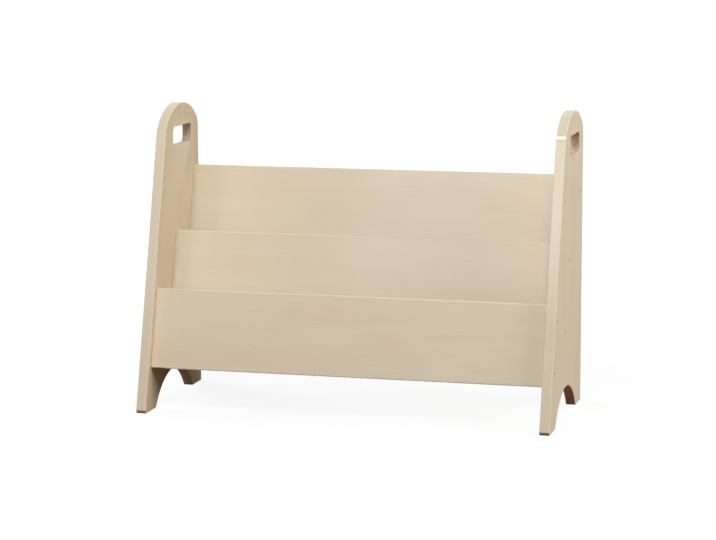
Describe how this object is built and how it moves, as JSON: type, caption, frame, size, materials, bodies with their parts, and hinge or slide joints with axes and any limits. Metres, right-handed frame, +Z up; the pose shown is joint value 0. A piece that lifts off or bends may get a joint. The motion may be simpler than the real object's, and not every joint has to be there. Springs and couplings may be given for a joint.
{
  "type": "book display rack",
  "caption": "Free-standing wooden book display rack: arched end panels with hand holes carry leaning panels and shelves that form open pockets for face-out books.",
  "frame": {"origin": "on the floor, under the middle of the rack", "axes": "+X along the rack to the right as seen from the front, +Y towards the back, +Z up"},
  "size_m": [0.76, 0.3189, 0.5464],
  "materials": {
    "lacquered_wood": "pale birch board under a clear satin lacquer",
    "dowel_wood": "bare hardwood dowel",
    "screw_steel": "dark bronze coated steel"
  },
  "bodies": {
    "root": {"left_end_panel": "lacquered_wood", "right_end_panel": "lacquered_wood", "front_panel": "lacquered_wood", "middle_panel": "lacquered_wood", "back_panel": "lacquered_wood", "lower_shelf": "lacquered_wood", "upper_shelf": "lacquered_wood", "front_panel_screw_left_lower": "screw_steel", "front_panel_screw_left_upper": "screw_steel", "front_panel_screw_right_lower": "screw_steel", "front_panel_screw_right_upper": "screw_steel", "middle_panel_screw_left_lower": "screw_steel", "middle_panel_screw_left_upper": "screw_steel", "middle_panel_screw_right_lower": "screw_steel", "middle_panel_screw_right_upper": "screw_steel", "back_panel_screw_left_lower": "screw_steel", "back_panel_screw_left_upper": "screw_steel", "back_panel_screw_right_lower": "screw_steel", "back_panel_screw_right_upper": "screw_steel", "lower_shelf_screw_1": "screw_steel", "lower_shelf_screw_2": "screw_steel", "lower_shelf_screw_3": "screw_steel", "lower_shelf_screw_4": "screw_steel", "upper_shelf_screw_1": "screw_steel", "upper_shelf_screw_2": "screw_steel", "upper_shelf_screw_3": "screw_steel", "upper_shelf_screw_4": "screw_steel", "lower_shelf_end_dowel_left_front": "dowel_wood", "lower_shelf_end_dowel_left_rear": "dowel_wood", "lower_shelf_end_dowel_right_front": "dowel_wood", "lower_shelf_end_dowel_right_rear": "dowel_wood", "upper_shelf_end_dowel_left_front": "dowel_wood", "upper_shelf_end_dowel_left_rear": "dowel_wood", "upper_shelf_end_dowel_right_front": "dowel_wood", "upper_shelf_end_dowel_right_rear": "dowel_wood", "lower_shelf_edge_dowel_1": "dowel_wood", "lower_shelf_edge_dowel_2": "dowel_wood", "lower_shelf_edge_dowel_3": "dowel_wood", "lower_shelf_edge_dowel_4": "dowel_wood", "upper_shelf_edge_dowel_1": "dowel_wood", "upper_shelf_edge_dowel_2": "dowel_wood", "upper_shelf_edge_dowel_3": "dowel_wood", "upper_shelf_edge_dowel_4": "dowel_wood"}
  },
  "joints": []
}
